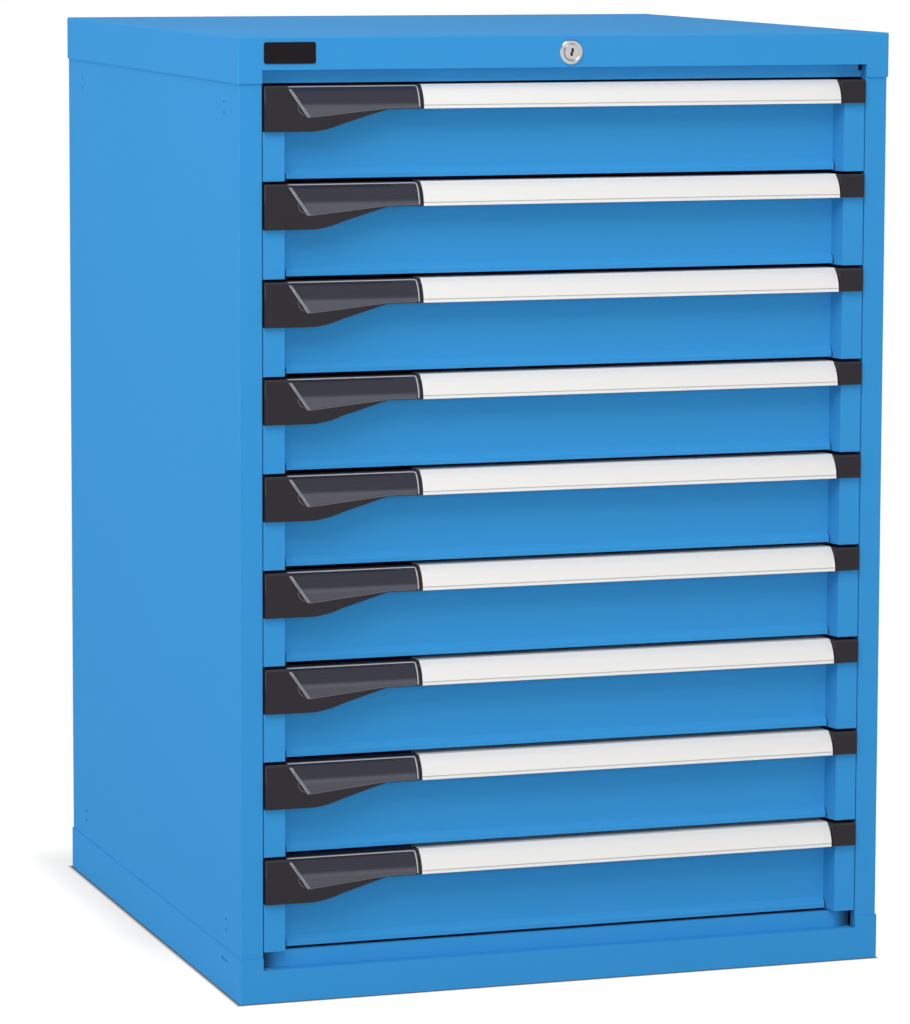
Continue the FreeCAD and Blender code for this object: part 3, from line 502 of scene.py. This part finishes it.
def surface_piece(name, points, faces, material, number, slot="clear_plastic"):
    """Object of points in millimetres from a drawer's corner, shaded smooth, on that drawer."""
    points = to_drawer(points, number)
    mesh = bpy.data.meshes.new(name)
    mesh.from_pydata(points.reshape(-1, 3).tolist(), [], [list(face) for face in faces])
    mesh.shade_smooth()
    mesh.materials.append(material)
    piece = bpy.data.objects.new(name, mesh)
    bpy.context.collection.objects.link(piece)
    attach(piece, f"drawer_{number}")
    return piece


def to_drawer(points, number):
    """Millimetres from the front's upper left corner turned into metres at a drawer's place."""
    low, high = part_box(f"label_window_{number}")
    corner = np.array([low[0] - WINDOW_START * MM, low[1], high[2] + WINDOW_EDGE * MM])
    return points * MM + corner


def label_cover(number, material):
    """Clear cover: the window's surface sunk by COVER_SINK, with a parallel back face."""
    across, down = np.meshgrid(np.linspace(0, 1, COVER_COLUMNS), np.linspace(0, 1, COVER_ROWS))
    outer, normal = window_point(across, down)
    shell = np.concatenate([outer - normal * COVER_SINK, outer - normal * COVER_BACK])
    rows, columns = across.shape
    front = grid_faces(rows, columns)
    back = grid_faces(rows, columns, rows * columns)[:, ::-1]
    edge = np.concatenate([
        np.arange(columns), columns * np.arange(1, rows) + columns - 1,
        rows * columns - np.arange(2, columns + 1), columns * np.arange(rows - 2, 0, -1)])
    after = np.roll(edge, -1)
    sides = np.stack([edge, edge + rows * columns, after + rows * columns, after], axis=-1)
    faces = np.concatenate([front, back, sides])[:, ::-1]
    piece = surface_piece(f"label_cover_{number}", shell, faces, material, number)
    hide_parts(f"label_window_{number}")


def beading(name, path, normal, width, material, number, **slot):
    """Bead along an open path: an ellipse of a half width across the surface and RIM_HIGH along its
    normal, carried along the path and shrinking to blunt ends within one width. Where the surface
    is the foremost plane of the grip, the bead is cut flat RIM_PROUD in front of it."""
    along = np.gradient(path, axis=0)
    step = np.linalg.norm(along, axis=1)
    along /= step[:, None]
    run = np.cumsum(step)
    to_end = np.minimum(run, run[-1] - run + step[-1])
    taper = np.sqrt(np.clip(to_end / width, BEAD_END, 1))[:, None, None]
    aside = np.cross(normal, along)
    turn = np.arange(BEAD_SIDES)[:, None] * 2 * math.pi / BEAD_SIDES
    ring = path[:, None] + taper * (width[:, None, None] * np.cos(turn) * aside[:, None]
                                    + RIM_HIGH * np.sin(turn) * normal[:, None])
    ring[..., 1] = np.maximum(ring[..., 1], -RIM_PROUD)
    row, column = np.meshgrid(np.arange(len(path) - 1), np.arange(BEAD_SIDES), indexing="ij")
    beside = (column + 1) % BEAD_SIDES
    quads = np.stack([row * BEAD_SIDES + column, row * BEAD_SIDES + beside,
                      (row + 1) * BEAD_SIDES + beside, (row + 1) * BEAD_SIDES + column], axis=-1)
    first = np.arange(BEAD_SIDES)
    last = first + (len(path) - 1) * BEAD_SIDES
    faces = quads.reshape(-1, 4).tolist() + [first[::-1].tolist(), last.tolist()]
    surface_piece(name, ring, faces, material, number, **slot)


def front_beading(name, run, drop, width, material, number, back=0.0, **slot):
    """Bead of one half width on a surface that faces forward, along runs, drops and depths."""
    path = np.stack([run, back + 0 * run, -drop], axis=-1)
    beading(name, path, np.tile((0.0, -1.0, 0.0), (len(path), 1)), np.full(len(path), width),
            material, number, **slot)


def cover_rim(number, material, dim):
    """Rim along the cover's upper and right sides in the painted highlight, and a thin one along
    the lower in the dimmer painted highlight.

    Averaging neighbours rounds the upper right corner.
    """
    side = np.linspace(0, 1, RIM_POINTS)
    path, normal = window_point(np.append(side, np.ones(RIM_POINTS - 1)),
                                np.append(np.zeros(RIM_POINTS), side[1:]))
    width = np.repeat(RIM_WIDTHS[:2], (RIM_POINTS, RIM_POINTS - 1))
    for _ in range(CORNER_ROUNDS):
        path[1:-1] = (path[:-2] + path[1:-1] + path[2:]) / 3
        width[1:-1] = (width[:-2] + width[1:-1] + width[2:]) / 3
    beading(f"label_rim_{number}", path, normal, width, material, number)
    path, normal = window_point(side[1:-1], np.ones(RIM_POINTS - 2))
    beading(f"lower_rim_{number}", path, normal, np.full(RIM_POINTS - 2, RIM_WIDTHS[2]), dim,
            number)


def slanted_rims(number, material):
    """Two parallel beads in the moulding's flat face along the window's slanted side, pale as
    painted highlights.
    """
    down = np.linspace(SLANT_START / WINDOW_DROP, 1, SLANT_POINTS)
    for index, (shift, wide) in enumerate(SLANT_BEADS, start=1):
        front_beading(f"slant_rim_{index}_{number}", WINDOW_START + WINDOW_SLANT * down + shift,
                      WINDOW_EDGE + (WINDOW_DROP - WINDOW_EDGE) * down, wide, material, number)


def notch_rim(number, material):
    """Bead round the finger notch, in the dimmer painted highlight: the arc of its circle that lies
    left of the slanted side.
    """
    slope = math.atan2(WINDOW_DROP - WINDOW_EDGE, WINDOW_SLANT)
    middle, reach = 1.5 * math.pi - slope, math.acos(NOTCH_CHORD / NOTCH_RADIUS)
    turn = np.linspace(middle - reach, middle + reach, NOTCH_POINTS)
    run = WINDOW_START + WINDOW_SLANT / 2 + NOTCH_RADIUS * (1 + np.cos(turn))
    drop = WINDOW_DROP * 2 / 3 - NOTCH_RADIUS * np.sin(turn)
    front_beading(f"notch_rim_{number}", run, drop, NOTCH_WIDE, material, number)


def painted_slit_shades(number, material):
    """Dark bead as painted shade in the slit between the front's foot and each column.

    It rises along the foot and from FOOT_BEND of its height on leans back with the slope above.
    """
    rise = np.linspace(0, 1, SLIT_SHADE_POINTS)
    lean = np.clip((rise - FOOT_BEND) / (1 - FOOT_BEND), 0, 1)
    for side, run in enumerate(SLIT_SHADE_RUNS, start=1):
        front_beading(f"foot_slit_shade_{side}_{number}", 0 * rise + run, FOOT_DROP - FOOT_RISE * rise,
                      SLIT_SHADE_WIDE, material, number, back=FOOT_BACK + FOOT_LEAN * lean,
                      slot="black_plastic")


def label_windows():
    """Covers, rims with painted highlights, and the painted shade in the slits, for all the
    drawers.
    """
    cover, rim, dim, slit_shade = clear_cover(), painted_rim_highlight(), painted_dim_rim_highlight(), painted_shade_black()
    for number in DRAWERS:
        label_cover(number, cover)
        cover_rim(number, rim, dim)
        slanted_rims(number, rim)
        notch_rim(number, dim)
        painted_slit_shades(number, slit_shade)


# ---------------------------------------------------------------- studio

def seen_directly(tree):
    """1 where the camera looks straight at a surface, or in a mirror or through glass, else 0."""
    path = add(tree, "ShaderNodeLightPath")
    seen = math_node(tree, "MAXIMUM", path.outputs["Is Camera Ray"], path.outputs["Is Glossy Ray"])
    return math_node(tree, "MAXIMUM", seen, path.outputs["Is Transmission Ray"])


def painted_floor_shadow(tree):
    """Share of the floor's brightness that a painted contact shadow round the foot and a painted
    soft shade leave.

    The line falls off with the distance outside the foot's rectangle. The shade falls off with the
    distance beside the cabinet, and from its rear corner towards the front one and to the back.
    """
    axes = object_axes(tree)
    across, back = axes["X"], axes["Y"]
    beside = math_node(tree, "SUBTRACT", math_node(tree, "ABSOLUTE", across, 0.0), FOOT_HALF_WIDE)
    behind = math_node(tree, "SUBTRACT", math_node(tree, "ABSOLUTE", back, 0.0), FOOT_HALF_DEEP)
    right = math_node(tree, "MULTIPLY", math_node(tree, "SUBTRACT", across, FOOT_HALF_WIDE),
                      CONTACT_NARROWING)
    outside = math_node(tree, "MAXIMUM", math_node(tree, "MAXIMUM", beside, behind), right)
    line = map_range(tree, outside, (0.0, CONTACT_REACH), (CONTACT_LEVEL, 1.0))
    reach = map_range(tree, beside, (0.0, SHADE_REACH), (SHADE_STRENGTH, 0.0))
    along = map_range(tree, back, SHADE_START, (0.0, 1.0))
    beyond = map_range(tree, back, SHADE_END, (1.0, 0.0))
    shade = math_node(tree, "MULTIPLY", math_node(tree, "MULTIPLY", reach, along), beyond)
    return math_node(tree, "MULTIPLY", line, math_node(tree, "SUBTRACT", 1.0, shade))


def floor():
    """Pale floor, which shows its shadows and, near the object, the painted contact shadow and
    shade; it is white far off.

    Light that bounces between surfaces meets a plain grey instead.
    """
    half = FLOOR_HALF
    mesh = bpy.data.meshes.new("floor")
    mesh.from_pydata([(-half, -half, 0), (half, -half, 0), (half, half, 0), (-half, half, 0)],
                     [], [(0, 1, 2, 3)])
    plane = bpy.data.objects.new("floor", mesh)
    bpy.context.collection.objects.link(plane)
    material = bpy.data.materials.new("white floor")
    material.use_nodes = True
    tree = material.node_tree
    tree.nodes.clear()
    out = add(tree, "ShaderNodeOutputMaterial")
    grey = add(tree, "ShaderNodeBsdfDiffuse", Color=(FLOOR_TONE, FLOOR_TONE, FLOOR_TONE, 1))
    # painted shadow: the contact line and the shade darken the floor's glow and tone
    level = painted_floor_shadow(tree)
    white = add(tree, "ShaderNodeEmission")
    link(tree, math_node(tree, "MULTIPLY", level, FLOOR_GLOW), white.inputs["Strength"])
    shaded = add(tree, "ShaderNodeBsdfDiffuse")
    link(tree, math_node(tree, "MULTIPLY", level, FLOOR_TONE), shaded.inputs["Color"])
    faded = add(tree, "ShaderNodeMixShader", Fac=FLOOR_GLOW_SHARE)
    plain = add(tree, "ShaderNodeEmission", Strength=1.0)
    far = add(tree, "ShaderNodeMixShader")
    shown = add(tree, "ShaderNodeMixShader")
    place = add(tree, "ShaderNodeTexCoord")
    away = add(tree, "ShaderNodeVectorMath", operation="LENGTH")
    link(tree, place.outputs["Object"], away.inputs[0])
    link(tree, map_range(tree, away.outputs["Value"], FLOOR_FADE, (0.0, 1.0)), far.inputs[0])
    link(tree, shaded.outputs[0], faded.inputs[1])
    link(tree, white.outputs[0], faded.inputs[2])
    link(tree, faded.outputs[0], far.inputs[1])
    link(tree, plain.outputs[0], far.inputs[2])
    link(tree, seen_directly(tree), shown.inputs[0])
    link(tree, grey.outputs[0], shown.inputs[1])
    link(tree, far.outputs[0], shown.inputs[2])
    link(tree, shown.outputs[0], out.inputs["Surface"])
    mesh.materials.append(material)


def surroundings():
    """Even room light; seen directly, a white backdrop that turns into a dim ceiling far up."""
    world = bpy.data.worlds.new("studio")
    bpy.context.scene.world = world
    world.use_nodes = True
    tree = world.node_tree
    tree.nodes.clear()
    out = add(tree, "ShaderNodeOutputWorld")
    room = add(tree, "ShaderNodeBackground", Color=(1, 1, 1, 1), Strength=ROOM_LIGHT)
    backdrop = add(tree, "ShaderNodeBackground", Color=(1, 1, 1, 1))
    mixed = add(tree, "ShaderNodeMixShader")
    place = add(tree, "ShaderNodeTexCoord")
    parts = add(tree, "ShaderNodeSeparateXYZ")
    link(tree, place.outputs["Generated"], parts.inputs[0])
    brightness = map_range(tree, parts.outputs["Z"], CEILING_RISE, (1.0, CEILING_DIM))
    link(tree, brightness, backdrop.inputs["Strength"])
    link(tree, seen_directly(tree), mixed.inputs[0])
    link(tree, room.outputs[0], mixed.inputs[1])
    link(tree, backdrop.outputs[0], mixed.inputs[2])
    link(tree, mixed.outputs[0], out.inputs["Surface"])


def lamp(name, place, size, power, mirrored=True):
    """Rectangular softbox at a place, turned to AIM, and seen in gloss or not."""
    data = bpy.data.lights.new(name, "AREA")
    data.shape = "RECTANGLE"
    data.size, data.size_y = size
    data.energy = power
    item = bpy.data.objects.new(name, data)
    bpy.context.collection.objects.link(item)
    reach = np.subtract(AIM, place)
    across = math.hypot(reach[0], reach[1])
    item.visible_glossy = mirrored
    item.location = place
    item.rotation_euler = (math.atan2(across, -reach[2]), 0,
                           math.atan2(reach[1], reach[0]) - math.pi / 2)


def lights():
    """Key from the upper left, and softer light from all the other sides."""
    lamp("key softbox", (-1.4, -2.6, 4.0), (2.8, 2.8), 110)
    lamp("side softbox", (-3.8, 0.2, 1.6), (2.0, 2.0), 67)
    lamp("front softbox", (-0.2, -3.9, 0.75), (3.0, 1.8), 47, mirrored=False)
    lamp("right softbox", (3.8, 0.6, 1.6), (2.4, 2.0), 40, mirrored=False)
    lamp("rear softbox", (0.4, 4.0, 1.8), (2.4, 2.0), 44, mirrored=False)
    lamp("overhead softbox", (0.0, -0.3, 3.4), (1.6, 1.6), 5, mirrored=False)


def camera():
    """Long lens from the front left, a little above the cap."""
    data = bpy.data.cameras.new("camera")
    data.sensor_width = 36
    data.lens = 163.86
    data.shift_y = -0.08
    data.clip_end = 100
    item = bpy.data.objects.new("camera", data)
    item.location = (-1.6548, -4.9118, 1.1565)
    item.rotation_euler = [math.radians(angle) for angle in (83.2985, -0.1905, -18.5450)]
    bpy.context.collection.objects.link(item)
    bpy.context.scene.camera = item


paint_nodes()
label_windows()
floor()
surroundings()
lights()
camera()
bpy.context.scene.view_settings.view_transform = "Standard"
